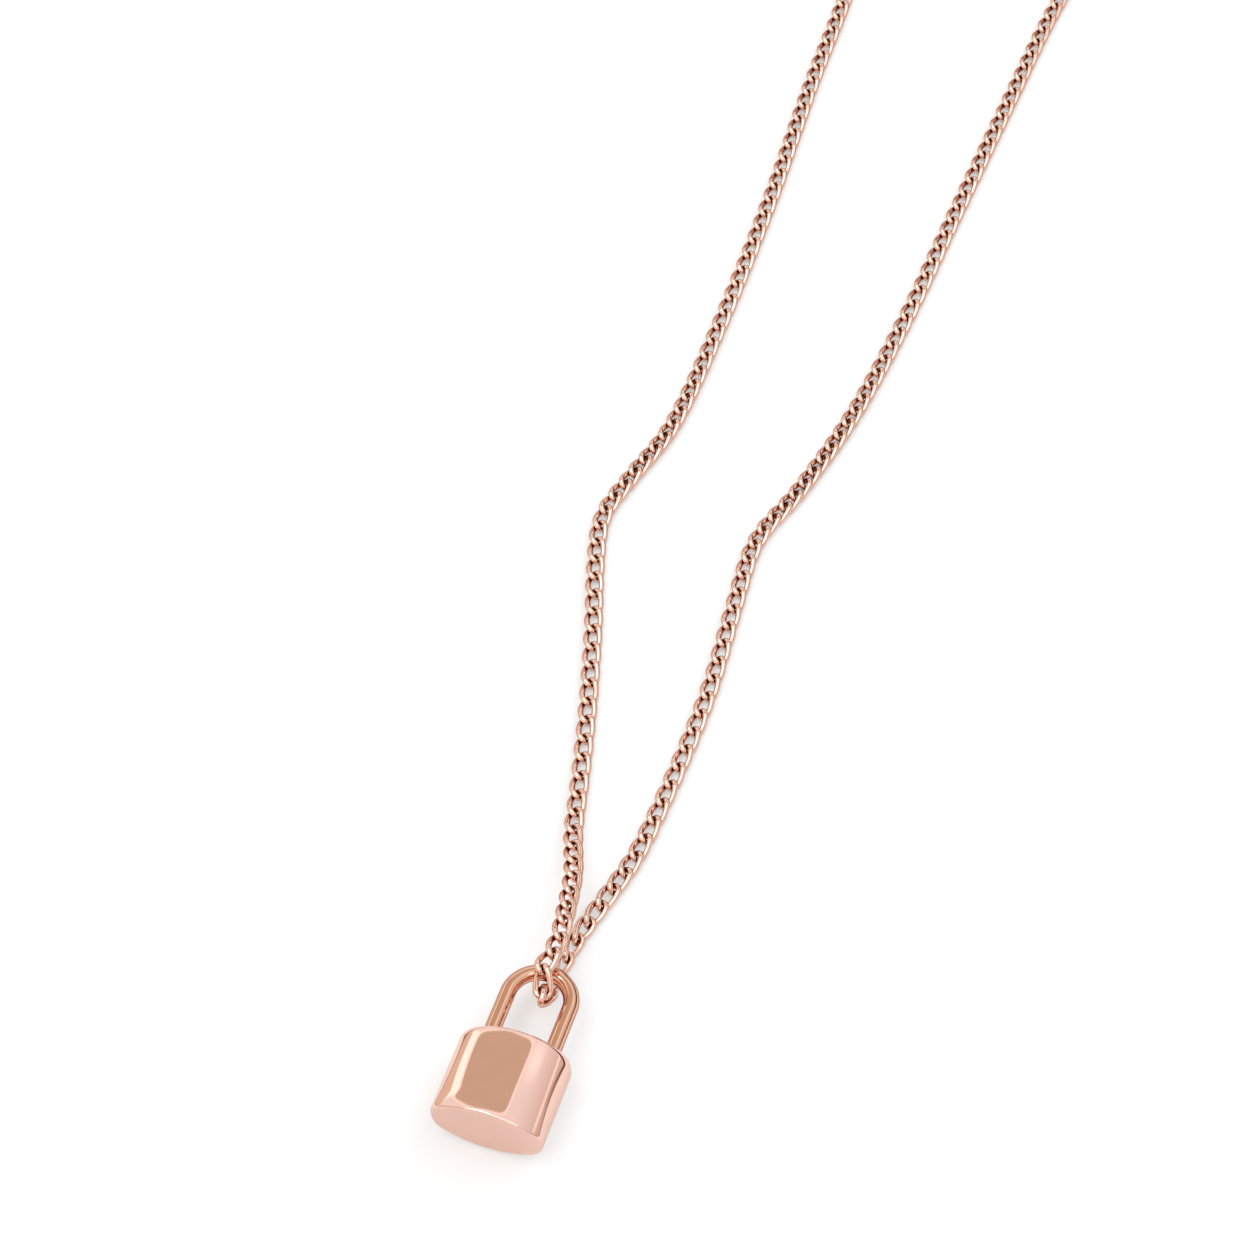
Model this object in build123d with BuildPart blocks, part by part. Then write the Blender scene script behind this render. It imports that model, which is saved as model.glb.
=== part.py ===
from build123d import *
import math
import os

# A padlock pendant on a curb chain that runs straight through its shackle, laid on a flat surface.
# Millimetres. +X across the lock, +Y from the lock's bottom towards its shackle, +Z up from the surface.

# The lock's body: two bowed faces and two bowed side walls, with a flat top and bottom
BODY_WIDTH = 10.6
BODY_HEIGHT = 9.0
BODY_THICKNESS = 6.8
SIDE_BOW = 0.65  # how far each side wall stands out past the faces' side edges
SIDE_THICKNESS = 3.9  # between the two faces' side edges
FACE_CROWN = 0.3  # how far each face falls from its middle to the top and bottom
TOP_CORNER_RADIUS = 1.4
BOTTOM_CORNER_RADIUS = 0.45
FACE_EDGE_RADIUS = 0.12
WALL_SPREAD = 1.4  # how far the side walls' arcs run on past the faces, as a share of their own half
COVER_RISE = 0.51  # half height of the uncut outline, as a share of the thickness
BOW_SPREAD = 1.3  # how far the face cut's arc runs on past the body, as a share of its half width

# The shackle: a U of round wire whose legs sit in two blind sockets of the body
SHACKLE_WIRE = 1.48
LEG_SPACING = 5.9
LEG_RISE = 5.1  # straight part of each leg above the body
SOCKET_DEPTH = 1.6
SOCKET_CLEARANCE = 0.05

# The chain: curb links, each a loop of round wire whose two ends are turned out of its plane
LINK_WIRE = 0.46
LINK_WIDTH = 1.92
LINK_PITCH = 2.25
LINK_PLAY = 0.18  # how far apart two pulled links stay
LINK_TURN = -50.0  # degrees, of each end
LINK_END_BEND = 0.98  # share of each end's half width that its corner arcs take up
LINK_SIDE_BEND = 0.4  # share of each half side that its middle arc takes up
BAR_GAP = 0.13  # between the shackle's bar and the links that turn over it

# The clasp: a plain closed hook with an eye, and the ring that it holds
HOOK_LENGTH = 8.0
HOOK_WIDTH = 4.4
HOOK_WIRE = 1.1
HOOK_LEAN = 30.0  # degrees out of the surface, about the chain's line
EYE_DIAMETER = 2.9
EYE_WIRE = 0.5
RING_DIAMETER = 4.2
RING_WIRE = 0.5
RING_LEAN = -38.0
CATCH_GAP = 0.17  # between two pieces that hook into each other
CLASP_ACROSS = -1.0
CLASP_ALONG = 225.5

# The chain's route from the clasp down its left side to the shackle. Across and along are places on the
# surface, height is the chain's line above it, roll turns the links in degrees, and share is how much
# of their pulled pitch the links keep where the chain is pushed together.
#   across, along, height, roll, share
LEFT_ROUTE = [
    (-10.6, 224.9, 1.10, 9.0, 1.0),
    (-15.0, 220.7, 0.84, 6.0, 1.0),
    (-17.2, 213.0, 0.66, 0.0, 1.0),
    (-17.3, 202.0, 0.62, 0.0, 1.0),
    (-16.0, 188.5, 0.62, 0.0, 1.0),
    (-13.9, 172.5, 0.62, 0.0, 1.0),
    (-12.2, 157.0, 0.62, 0.0, 1.0),
    (-11.7, 141.0, 0.62, 0.0, 1.0),
    (-10.7, 121.6, 0.62, 0.0, 1.0),
    (-10.3, 102.7, 0.62, 0.0, 1.0),
    (-10.6, 87.0, 0.62, 0.0, 0.88),
    (-12.5, 78.2, 0.62, 0.0, 0.86),
    (-13.6, 72.2, 0.62, 0.0, 0.96),
    (-12.3, 66.1, 0.62, 0.0, 1.0),
    (-9.8, 58.0, 0.62, 0.0, 1.0),
    (-7.4, 49.5, 0.62, 0.0, 1.0),
    (-5.1, 40.4, 0.64, 0.0, 1.0),
    (-3.6, 34.0, 1.10, 0.0, 0.95),
    (-1.65, 28.4, 2.60, -13.0, 0.96),
]

# The same from the shackle up its right side to the ring that the clasp holds
RIGHT_ROUTE = [
    (1.04, 25.2, 0.83, 30.0, 1.02),
    (2.04, 29.6, 0.72, 13.7, 0.95),
    (2.88, 34.0, 0.63, 0.0, 0.97),
    (3.4, 43.0, 0.62, 0.0, 1.0),
    (3.5, 54.0, 0.62, 0.0, 1.0),
    (2.7, 65.0, 0.62, 0.0, 1.0),
    (2.3, 74.0, 0.62, 0.0, 0.92),
    (4.6, 82.2, 0.62, 0.0, 0.84),
    (7.0, 94.3, 0.62, 0.0, 0.88),
    (8.5, 109.5, 0.62, 0.0, 1.0),
    (9.3, 124.0, 0.62, 0.0, 1.0),
    (10.5, 144.3, 0.62, 0.0, 1.0),
    (11.7, 162.5, 0.62, 0.0, 1.0),
    (13.9, 177.0, 0.62, 0.0, 1.0),
    (16.2, 191.0, 0.62, 0.0, 1.0),
    (17.3, 204.0, 0.62, 0.0, 1.0),
    (16.7, 214.5, 0.64, 0.0, 1.0),
    (13.4, 221.9, 0.88, 0.0, 1.0),
    (8.2, 225.1, 1.28, -1.0, 1.0),
]

# The handovers from link to link over the shackle's bar, under it and out behind it: across, along and
# up from the middle of the bar as shares of the wrap radius, and the roll of the link that starts there
#   across, along, up, roll
TURN = [
    (-0.455, 4.945, 0.682, -11.0),
    (-0.131, 3.085, 1.019, -12.0),
    (-0.080, 1.009, 1.486, 0.0),
    (-0.328, -0.493, 1.655, 11.0),
    (0.391, -2.745, 0.770, 52.0),
    (0.249, -1.897, -0.280, 48.0),
    (0.071, -0.331, -2.203, 57.0),
    (0.111, 1.246, -2.231, 54.0),
    (0.298, 3.448, -2.280, 42.0),
    (0.500, 5.327, -2.290, 42.0),
]
TURN_SHARE = 0.84
LEFT_TURN_LINKS = 5  # the turn's links that belong to the left chain
ROUTE_STEPS = 60  # between two rows of a route

# Worked out from the sizes above
mid_height = BODY_THICKNESS / 2
face_half_width = BODY_WIDTH / 2 - SIDE_BOW
shoulder_along = BODY_HEIGHT + LEG_RISE
bar_along = shoulder_along + LEG_SPACING / 2
wrap_radius = (SHACKLE_WIRE + LINK_WIRE) / 2 + BAR_GAP
link_reach = (LINK_WIRE + LINK_PLAY) / 2  # of a link's end wire past its handover


def arc_radius(chord, rise):
    """Radius of the arc that rises this far over this chord."""
    return (chord**2 / 4 + rise**2) / (2 * rise)


# The body: an outline with bowed side walls, cut front and back to faces that are bowed across and
# crowned along. The outline's walls go on straight past the faces, where the cuts take them away.
side_radius = arc_radius(SIDE_THICKNESS, SIDE_BOW)
side_angle = WALL_SPREAD * math.asin(SIDE_THICKNESS / 2 / side_radius)
wall_rise = side_radius * math.sin(side_angle)
wall_half_width = BODY_WIDTH / 2 - side_radius * (1 - math.cos(side_angle))
cover_rise = COVER_RISE * BODY_THICKNESS
cover_half_width = wall_half_width - (cover_rise - wall_rise) * math.tan(side_angle)
face_radius = arc_radius(2 * face_half_width, (BODY_THICKNESS - SIDE_THICKNESS) / 2)
face_angle = BOW_SPREAD * math.degrees(math.asin(face_half_width / face_radius))
crown_radius = arc_radius(BODY_HEIGHT, FACE_CROWN)

with BuildPart() as lock_body:
    with BuildSketch(Plane.XZ):
        with BuildLine():
            for side in (-1, 1):
                ThreePointArc(
                    (side * wall_half_width, mid_height - wall_rise),
                    (side * BODY_WIDTH / 2, mid_height),
                    (side * wall_half_width, mid_height + wall_rise),
                )
                Polyline(
                    (-wall_half_width, mid_height + side * wall_rise),
                    (-cover_half_width, mid_height + side * cover_rise),
                    (cover_half_width, mid_height + side * cover_rise),
                    (wall_half_width, mid_height + side * wall_rise),
                )
        make_face()
    extrude(amount=-BODY_HEIGHT)
    top = lock_body.faces().sort_by(Axis.Y)[-1]
    fillet(top.edges().filter_by(GeomType.CIRCLE), TOP_CORNER_RADIUS)
    bottom = lock_body.faces().sort_by(Axis.Y)[0]
    fillet(bottom.edges().filter_by(GeomType.CIRCLE), BOTTOM_CORNER_RADIUS)
    for facing in (-1, 1):
        crest = mid_height + facing * BODY_THICKNESS / 2
        far_side = crest - facing * 2 * BODY_THICKNESS
        with BuildSketch(Plane.XZ.offset(-BODY_HEIGHT / 2)):
            with BuildLine():
                bow_centre = (0, crest - facing * face_radius)
                bow = CenterArc(bow_centre, face_radius, facing * 90 - face_angle, 2 * face_angle)
                Polyline(bow @ 0, ((bow @ 0).X, far_side), ((bow @ 1).X, far_side), bow @ 1)
            make_face()
        crown_axis = Axis((0, BODY_HEIGHT / 2, crest - facing * crown_radius), (1, 0, 0))
        revolve(axis=crown_axis, mode=Mode.INTERSECT)
    faces_by_height = lock_body.faces().sort_by(Axis.Z)
    fillet(faces_by_height[0].edges() + faces_by_height[-1].edges(), FACE_EDGE_RADIUS)
    with BuildSketch(Plane.XZ.offset(-BODY_HEIGHT)):
        with Locations((-LEG_SPACING / 2, mid_height), (LEG_SPACING / 2, mid_height)):
            Circle(SHACKLE_WIRE / 2 + SOCKET_CLEARANCE)
    extrude(amount=SOCKET_DEPTH, mode=Mode.SUBTRACT)
lock_body.part.label = "lock_body"

# The shackle stands on the floors of its two sockets, with a small clearance
leg_foot = BODY_HEIGHT - SOCKET_DEPTH + SOCKET_CLEARANCE

with BuildPart() as shackle:
    with BuildLine() as shackle_line:
        Line((-LEG_SPACING / 2, leg_foot, mid_height), (-LEG_SPACING / 2, shoulder_along, mid_height))
        ThreePointArc(
            (-LEG_SPACING / 2, shoulder_along, mid_height),
            (0, bar_along, mid_height),
            (LEG_SPACING / 2, shoulder_along, mid_height),
        )
        Line((LEG_SPACING / 2, shoulder_along, mid_height), (LEG_SPACING / 2, leg_foot, mid_height))
    with BuildSketch(Plane((-LEG_SPACING / 2, leg_foot, mid_height), z_dir=(0, 1, 0))):
        Circle(SHACKLE_WIRE / 2)
    sweep(path=shackle_line.line)
shackle.part.label = "shackle"

# One link, about its own middle with its length along X. Half of it is a path of arcs and short straight
# lines, from the middle of one end to the middle of the other, and the other half is that half turned.
link_half_length = LINK_PITCH / 2 + link_reach
link_half_width = (LINK_WIDTH - LINK_WIRE) / 2
end_out = link_half_width * math.cos(math.radians(LINK_TURN))
end_up = link_half_width * math.sin(math.radians(LINK_TURN))
link_corners = [
    Vector(link_half_length, 0, 0),
    Vector(link_half_length, end_out, end_up),
    Vector(0, link_half_width, 0),
    Vector(-link_half_length, end_out, -end_up),
    Vector(-link_half_length, 0, 0),
]


def corner_radius(corners, index, reach):
    """Radius of the arc that starts this far before a corner."""
    before = corners[index - 1] - corners[index]
    after = corners[index + 1] - corners[index]
    return reach * math.tan(math.radians(before.get_angle(after) / 2))


end_reach = LINK_END_BEND * link_half_width
side_reach = LINK_SIDE_BEND * (link_corners[1] - link_corners[2]).length
link_radii = [
    corner_radius(link_corners, index, reach)
    for index, reach in ((1, end_reach), (2, side_reach), (3, end_reach))
]

with BuildPart() as link:
    with BuildLine() as link_line:
        FilletPolyline(*link_corners, radius=link_radii)
    with BuildSketch(Plane(link_corners[0], z_dir=link_corners[1] - link_corners[0])):
        Circle(LINK_WIRE / 2)
    sweep(path=link_line.line)
    add(link.part.rotate(Axis.X, 180))


# The clasp lies along the chain's closing line, its hook first and its eye on the left
hook_bend = (HOOK_WIDTH - HOOK_WIRE) / 2
hook_end = (HOOK_LENGTH - HOOK_WIRE) / 2
hook_height = hook_bend * math.sin(math.radians(abs(HOOK_LEAN))) + HOOK_WIRE / 2
eye_radius = (EYE_DIAMETER - EYE_WIRE) / 2
ring_radius = (RING_DIAMETER - RING_WIRE) / 2
ring_height = ring_radius * math.sin(math.radians(abs(RING_LEAN))) + RING_WIRE / 2
ring_near = hook_end - (HOOK_WIRE + RING_WIRE) / 2 - CATCH_GAP
eye_catch = -hook_end - 2 * eye_radius + (EYE_WIRE + LINK_WIRE) / 2 + CATCH_GAP
ring_catch = ring_near + 2 * ring_radius - (RING_WIRE + LINK_WIRE) / 2 - CATCH_GAP


def leaning_plane(across, height, lean):
    """Plane on the clasp's line, leaning by degrees about that line."""
    tilt = math.radians(lean)
    origin = (CLASP_ACROSS + across, CLASP_ALONG, height)
    return Plane(origin, x_dir=(1, 0, 0), z_dir=(0, -math.sin(tilt), math.cos(tilt)))


hook_plane = leaning_plane(0, hook_height, HOOK_LEAN)
eye_plane = leaning_plane(-hook_end - eye_radius, hook_height, HOOK_LEAN)
ring_plane = leaning_plane(ring_near + ring_radius, ring_height, RING_LEAN)

with BuildPart() as clasp:
    with BuildLine(hook_plane) as hook_line:
        Line((0, -hook_bend), (hook_end - hook_bend, -hook_bend))
        CenterArc((hook_end - hook_bend, 0), hook_bend, -90, 180)
        Line((hook_end - hook_bend, hook_bend), (hook_bend - hook_end, hook_bend))
        CenterArc((hook_bend - hook_end, 0), hook_bend, 90, 180)
        Line((hook_bend - hook_end, -hook_bend), (0, -hook_bend))
    with BuildSketch(Plane(hook_plane.from_local_coords((0, -hook_bend, 0)), z_dir=(1, 0, 0))):
        Circle(HOOK_WIRE / 2)
    sweep(path=hook_line.line)
    with Locations(eye_plane):
        Torus(eye_radius, EYE_WIRE / 2)
clasp.part.label = "clasp"

with BuildPart() as end_ring:
    with Locations(ring_plane):
        Torus(ring_radius, RING_WIRE / 2)
end_ring.part.label = "end_ring"


# The chain
def smooth_row(rows, place):
    """The row at a place between rows, each column on one smooth curve through its values."""
    first = min(int(place), len(rows) - 2)
    part = place - first
    near = [rows[min(max(first + step, 0), len(rows) - 1)] for step in (-1, 0, 1, 2)]
    return [
        b + part / 2 * (c - a + part * (2 * a - 5 * b + 4 * c - d + part * (3 * b - 3 * c + d - a)))
        for a, b, c, d in zip(*near)
    ]


def handovers(rows):
    """Points a link apart along a route, the first and last at its ends, with each link's roll."""
    places = [step / ROUTE_STEPS for step in range(ROUTE_STEPS * (len(rows) - 1) + 1)]
    marks = [smooth_row(rows, place) for place in places]
    counts = [0.0]
    for here, there in zip(marks, marks[1:]):
        run = (Vector(*there[:3]) - Vector(*here[:3])).length
        counts.append(counts[-1] + run / (LINK_PITCH * here[4]))
    links = math.ceil(counts[-1])
    found = []
    for number in range(links + 1):
        wanted = counts[-1] * number / links
        later = next(index for index, count in enumerate(counts) if count >= wanted - 1e-9)
        earlier = max(later - 1, 0)
        span = counts[later] - counts[earlier]
        share = (wanted - counts[earlier]) / span if span else 0.0
        place = places[earlier] + share * (places[later] - places[earlier])
        across, along, height, roll, _ = smooth_row(rows, place)
        found.append((Vector(across, along, height), roll))
    return found


def link_place(start, end, side, roll):
    """Location of the link between two handovers, its width along side before it is rolled."""
    forward = (end - start).normalized()
    flat = (side - forward * forward.dot(side)).normalized()
    width = flat.rotate(Axis((0, 0, 0), forward), roll)
    return Plane((start + end) / 2, x_dir=forward, z_dir=forward.cross(width)).location


def link_places(points, sense):
    """Locations of a strand's links, with their flat side up. Sense is 1 on the way down, else -1."""
    up = Vector(0, 0, sense)
    return [
        link_place(start, end, up.cross(end - start), roll)
        for (start, roll), (end, _) in zip(points, points[1:])
    ]


bar_middle = Vector(0, bar_along, mid_height)
turn_points = [
    (bar_middle + Vector(across, along, up) * wrap_radius, roll) for across, along, up, roll in TURN
]
turn_places = [
    link_place(start, end, Vector(1, 0, 0), roll)
    for (start, roll), (end, _) in zip(turn_points, turn_points[1:])
]
turn_rows = [(point.X, point.Y, point.Z, roll, TURN_SHARE) for point, roll in turn_points]
eye_roll = LINK_TURN - HOOK_LEAN + 90
ring_roll = -90 - LINK_TURN - RING_LEAN
eye_row = (CLASP_ACROSS + eye_catch - link_reach, CLASP_ALONG, hook_height, eye_roll, 1.0)
ring_row = (CLASP_ACROSS + ring_catch + link_reach, CLASP_ALONG, ring_height, ring_roll, 1.0)
left_points = handovers([eye_row, *LEFT_ROUTE, turn_rows[0]])
right_points = handovers([turn_rows[-1], *RIGHT_ROUTE, ring_row])
left_places = link_places(left_points, 1) + turn_places[:LEFT_TURN_LINKS]
right_places = turn_places[LEFT_TURN_LINKS:] + link_places(right_points, -1)


def chain(label, places):
    """One node of the chain, a copy of the link at each place."""
    return Compound(label=label, children=[link.part.solids()[0].moved(place) for place in places])


# The origin goes to the middle of the whole necklace's box, on the surface
small_pieces = [lock_body.part, shackle.part, clasp.part, end_ring.part]
extent = chain("chain", left_places + right_places).bounding_box()
for piece in small_pieces:
    extent = extent.add(piece.bounding_box())
origin = Location((-extent.center().X, -extent.center().Y, -extent.min.Z))

os.makedirs("parts", exist_ok=True)
for piece in small_pieces:
    export_step(piece.moved(origin), f"parts/{piece.label}.step")
for label, places in (("chain_left", left_places), ("chain_right", right_places)):
    export_step(chain(label, [origin * place for place in places]), f"parts/{label}.step")
print("links:", len(left_places), "left and", len(right_places), "right")
print("origin from the lock's bottom:", origin.position)
print("size:", extent.size)
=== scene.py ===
import math

import bpy
import numpy as np
from mathutils import Matrix, Vector
from mathutils.geometry import delaunay_2d_cdt


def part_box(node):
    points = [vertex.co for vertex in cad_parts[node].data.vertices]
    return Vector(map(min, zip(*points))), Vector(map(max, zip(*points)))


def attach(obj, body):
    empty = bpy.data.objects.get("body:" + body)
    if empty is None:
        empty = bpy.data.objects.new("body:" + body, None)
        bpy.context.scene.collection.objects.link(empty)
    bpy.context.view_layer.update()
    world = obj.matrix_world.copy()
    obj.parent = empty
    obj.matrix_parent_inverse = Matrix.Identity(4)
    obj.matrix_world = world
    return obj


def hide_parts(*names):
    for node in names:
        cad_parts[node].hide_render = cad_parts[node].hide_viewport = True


# A padlock pendant on a curb chain, laid on a pale surface. Metres. +X across the lock, +Y from the
# lock's bottom towards its shackle, +Z up.

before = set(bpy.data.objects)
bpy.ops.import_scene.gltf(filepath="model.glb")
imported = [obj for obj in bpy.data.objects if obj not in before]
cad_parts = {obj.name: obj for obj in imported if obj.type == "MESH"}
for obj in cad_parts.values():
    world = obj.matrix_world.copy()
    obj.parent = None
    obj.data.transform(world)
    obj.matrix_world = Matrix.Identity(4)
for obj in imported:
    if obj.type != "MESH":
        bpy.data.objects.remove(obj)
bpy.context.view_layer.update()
MM = 0.001

# The lock's body
SIDE_BOW = 0.65 * MM
SIDE_THICKNESS = 3.9 * MM
FACE_CROWN = 0.3 * MM
TOP_CORNER_RADIUS = 1.4 * MM
BOTTOM_CORNER_RADIUS = 0.45 * MM
TOP_EDGE_RADIUS = 0.45 * MM  # between the faces and the flat top
BOTTOM_EDGE_RADIUS = 0.18 * MM
SIDE_EDGE_RADIUS = 0.08 * MM  # between the faces and the side walls

# The shackle
SHACKLE_WIRE = 1.48 * MM
LEG_SPACING = 5.9 * MM
LEG_RISE = 5.1 * MM
SOCKET_DEPTH = 1.6 * MM
SOCKET_CLEARANCE = 0.05 * MM

# The chain's links
LINK_WIRE = 0.46 * MM
LINK_FULLNESS = 0.1 * MM  # added to the wire, since the links are joined here
LINK_WIDTH = 1.92 * MM
LINK_PITCH = 2.25 * MM
LINK_PLAY = 0.18 * MM
LINK_TURN = -50.0
LINK_END_BEND = 0.98
LINK_SIDE_BEND = 0.4
BAR_GAP = 0.13 * MM

# The clasp and its ring
HOOK_LENGTH = 8.0 * MM
HOOK_WIDTH = 4.4 * MM
HOOK_WIRE = 1.1 * MM
HOOK_LEAN = 30.0
EYE_DIAMETER = 2.9 * MM
EYE_WIRE = 0.5 * MM
RING_DIAMETER = 4.2 * MM
RING_WIRE = 0.5 * MM
RING_LEAN = -38.0
CATCH_GAP = 0.17 * MM
CLASP_ACROSS = -1.0 * MM
CLASP_ALONG = 225.5 * MM

# The chain's route, as in the part: across, along, height, roll in degrees, share of the pulled pitch
LEFT_ROUTE = [
    (-0.01060, 0.2249, 0.00110, 9.0, 1.0),
    (-0.01500, 0.2207, 0.00084, 6.0, 1.0),
    (-0.01714, 0.2130, 0.00066, 0.0, 1.0),
    (-0.01723, 0.2020, 0.00062, 0.0, 1.0),
    (-0.01600, 0.1885, 0.00062, 0.0, 1.0),
    (-0.01390, 0.1725, 0.00062, 0.0, 1.0),
    (-0.01220, 0.1570, 0.00062, 0.0, 1.0),
    (-0.01170, 0.1410, 0.00062, 0.0, 1.0),
    (-0.01070, 0.1216, 0.00062, 0.0, 1.0),
    (-0.01030, 0.1027, 0.00062, 0.0, 1.0),
    (-0.01060, 0.0870, 0.00062, 0.0, 0.88),
    (-0.01250, 0.0782, 0.00062, 0.0, 0.86),
    (-0.01360, 0.0722, 0.00062, 0.0, 0.96),
    (-0.01230, 0.0661, 0.00062, 0.0, 1.0),
    (-0.00980, 0.0580, 0.00062, 0.0, 1.0),
    (-0.00740, 0.0495, 0.00062, 0.0, 1.0),
    (-0.00510, 0.0404, 0.00064, 0.0, 1.0),
    (-0.00360, 0.0340, 0.00110, 0.0, 0.95),
    (-0.00165, 0.0284, 0.00260, -13.0, 0.96),
]
RIGHT_ROUTE = [
    (0.00104, 0.0252, 0.00083, 30.0, 1.02),
    (0.00204, 0.0296, 0.00072, 13.7, 0.95),
    (0.00288, 0.0340, 0.00063, 0.0, 0.97),
    (0.00340, 0.0430, 0.00062, 0.0, 1.0),
    (0.00350, 0.0540, 0.00062, 0.0, 1.0),
    (0.00270, 0.0650, 0.00062, 0.0, 1.0),
    (0.00230, 0.0740, 0.00062, 0.0, 0.92),
    (0.00460, 0.0822, 0.00062, 0.0, 0.84),
    (0.00700, 0.0943, 0.00062, 0.0, 0.88),
    (0.00850, 0.1095, 0.00062, 0.0, 1.0),
    (0.00930, 0.1240, 0.00062, 0.0, 1.0),
    (0.01050, 0.1443, 0.00062, 0.0, 1.0),
    (0.01170, 0.1625, 0.00062, 0.0, 1.0),
    (0.01390, 0.1770, 0.00062, 0.0, 1.0),
    (0.01620, 0.1910, 0.00062, 0.0, 1.0),
    (0.01723, 0.2040, 0.00062, 0.0, 1.0),
    (0.01665, 0.2145, 0.00064, 0.0, 1.0),
    (0.01340, 0.2219, 0.00088, 0.0, 1.0),
    (0.00820, 0.2251, 0.00128, -1.0, 1.0),
]

# The handovers round the shackle's bar: across, along and up as shares of the wrap radius, and roll
TURN = [
    (-0.455, 4.945, 0.682, -11.0),
    (-0.131, 3.085, 1.019, -12.0),
    (-0.080, 1.009, 1.486, 0.0),
    (-0.328, -0.493, 1.655, 11.0),
    (0.391, -2.745, 0.770, 52.0),
    (0.249, -1.897, -0.280, 48.0),
    (0.071, -0.331, -2.203, 57.0),
    (0.111, 1.246, -2.231, 54.0),
    (0.298, 3.448, -2.280, 42.0),
    (0.500, 5.327, -2.290, 42.0),
]
TURN_SHARE = 0.84
LEFT_TURN_LINKS = 5
ROUTE_STEPS = 60

# How finely the meshes are divided
LINK_SIDES = 14
WIRE_SIDES = 40
SHACKLE_SIDES = 72
SHACKLE_BEND_POINTS = 97
LEG_POINTS = 30
LINK_BEND_STEPS = 8
HOOK_BEND_POINTS = 25
EYE_POINTS = 64
RING_POINTS = 72
EDGE_SLICES = 13
BOTTOM_CORNER_SLICES = 10
TOP_CORNER_SLICES = 22
MIDDLE_SLICES = 44
WALL_POINTS = 20
FACE_POINTS = 40
CROWDING = 1.8  # how strongly an outline's points crowd towards the lock's side edges

# How the lock's body is worked out
WALL_ARC = 1.4  # the side walls' arc goes on to this many times their edges' angle, then straight
CORNER_START = 1.1  # a corner's own slices start this many edge radii from the end
EDGE_SEARCH = 1.2  # how far out the side edges are looked for, in half widths
OUTLINE_SEARCH = 1.4  # the same for the outline
HALVINGS = 46
FLAT_RIM = 0.02 * MM
INSIDE_ONLY = 1  # the triangulation keeps the triangles inside its edges
SAME_POINT = 1e-7  # millimetres
SEAM_GUIDE = (0.3, 0.2, 0.9)  # a direction that no wire starts along

# Places and sizes, the lock's taken from the frame. The lock's own corner of the frame is the middle
# of its bottom.
body_low, body_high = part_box("lock_body")
lock_origin = Vector(((body_low.x + body_high.x) / 2, body_low.y, body_low.z))
body_half_width = (body_high.x - body_low.x) / 2
body_height = body_high.y - body_low.y
body_half_thickness = (body_high.z - body_low.z) / 2
shoulder_along = body_height + LEG_RISE
bar_along = shoulder_along + LEG_SPACING / 2
wrap_radius = (SHACKLE_WIRE + LINK_WIRE) / 2 + BAR_GAP
link_reach = (LINK_WIRE + LINK_PLAY) / 2
hook_bend = (HOOK_WIDTH - HOOK_WIRE) / 2
hook_end = (HOOK_LENGTH - HOOK_WIRE) / 2
hook_height = hook_bend * math.sin(math.radians(abs(HOOK_LEAN))) + HOOK_WIRE / 2
eye_radius = (EYE_DIAMETER - EYE_WIRE) / 2
ring_radius = (RING_DIAMETER - RING_WIRE) / 2
ring_height = ring_radius * math.sin(math.radians(abs(RING_LEAN))) + RING_WIRE / 2
ring_near = hook_end - (HOOK_WIRE + RING_WIRE) / 2 - CATCH_GAP
eye_catch = -hook_end - 2 * eye_radius + (EYE_WIRE + LINK_WIRE) / 2 + CATCH_GAP
ring_catch = ring_near + 2 * ring_radius - (RING_WIRE + LINK_WIRE) / 2 - CATCH_GAP


def arc_radius(chord, rise):
    """Radius of the arc that rises this far over this chord."""
    return (chord**2 / 4 + rise**2) / (2 * rise)


def even_angles(count):
    """Angles in even steps round a circle."""
    return np.arange(count) * 2 * math.pi / count


def add_piece(name, points, faces, material, node):
    """A smooth mesh piece, made about the lock's corner of the frame, that stands for a CAD node."""
    mesh = bpy.data.meshes.new(name)
    mesh.from_pydata((np.asarray(points) + np.array(lock_origin)).tolist(), [], faces)
    mesh.shade_smooth()
    mesh.materials.append(material)
    piece = bpy.data.objects.new(name, mesh)
    bpy.context.scene.collection.objects.link(piece)
    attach(piece, "root")
    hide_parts(node)
    return piece


def ring_faces(rows, columns, closed):
    """Quads between rows of points, each row a closed ring. The last row is joined to the first if
    closed is true."""
    faces = []
    for row in range(rows if closed else rows - 1):
        above = (row + 1) % rows
        for column in range(columns):
            beside = (column + 1) % columns
            faces.append(
                (
                    row * columns + column,
                    row * columns + beside,
                    above * columns + beside,
                    above * columns + column,
                )
            )
    return faces


def closed_tube(path, radius, sides):
    """Points and quads of a round wire along a closed path. The section is carried along without
    twist, and what twist is left at the end is spread over the whole wire."""
    path = np.asarray(path)
    count = len(path)
    tangents = np.roll(path, -1, axis=0) - np.roll(path, 1, axis=0)
    tangents /= np.linalg.norm(tangents, axis=1)[:, None]
    side = np.cross(tangents[0], SEAM_GUIDE)
    side /= np.linalg.norm(side)
    sides_along = [side]
    for tangent in np.roll(tangents, -1, axis=0):
        side = side - tangent * (side @ tangent)
        side = side / np.linalg.norm(side)
        sides_along.append(side)
    first = sides_along[0]
    other = np.cross(tangents[0], first)
    left_over = math.atan2(sides_along[-1] @ other, sides_along[-1] @ first)
    rings = []
    for index in range(count):
        across = sides_along[index]
        up = np.cross(tangents[index], across)
        twist = -left_over * index / count
        angles = twist + even_angles(sides)
        rings.append(
            path[index]
            + radius * (np.cos(angles)[:, None] * across + np.sin(angles)[:, None] * up)
        )
    return np.concatenate(rings), ring_faces(count, sides, True)


# The lock's body: slices across its height, each a closed outline found where the bowed faces and the
# bowed side walls meet, with their edges rounded


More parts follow.
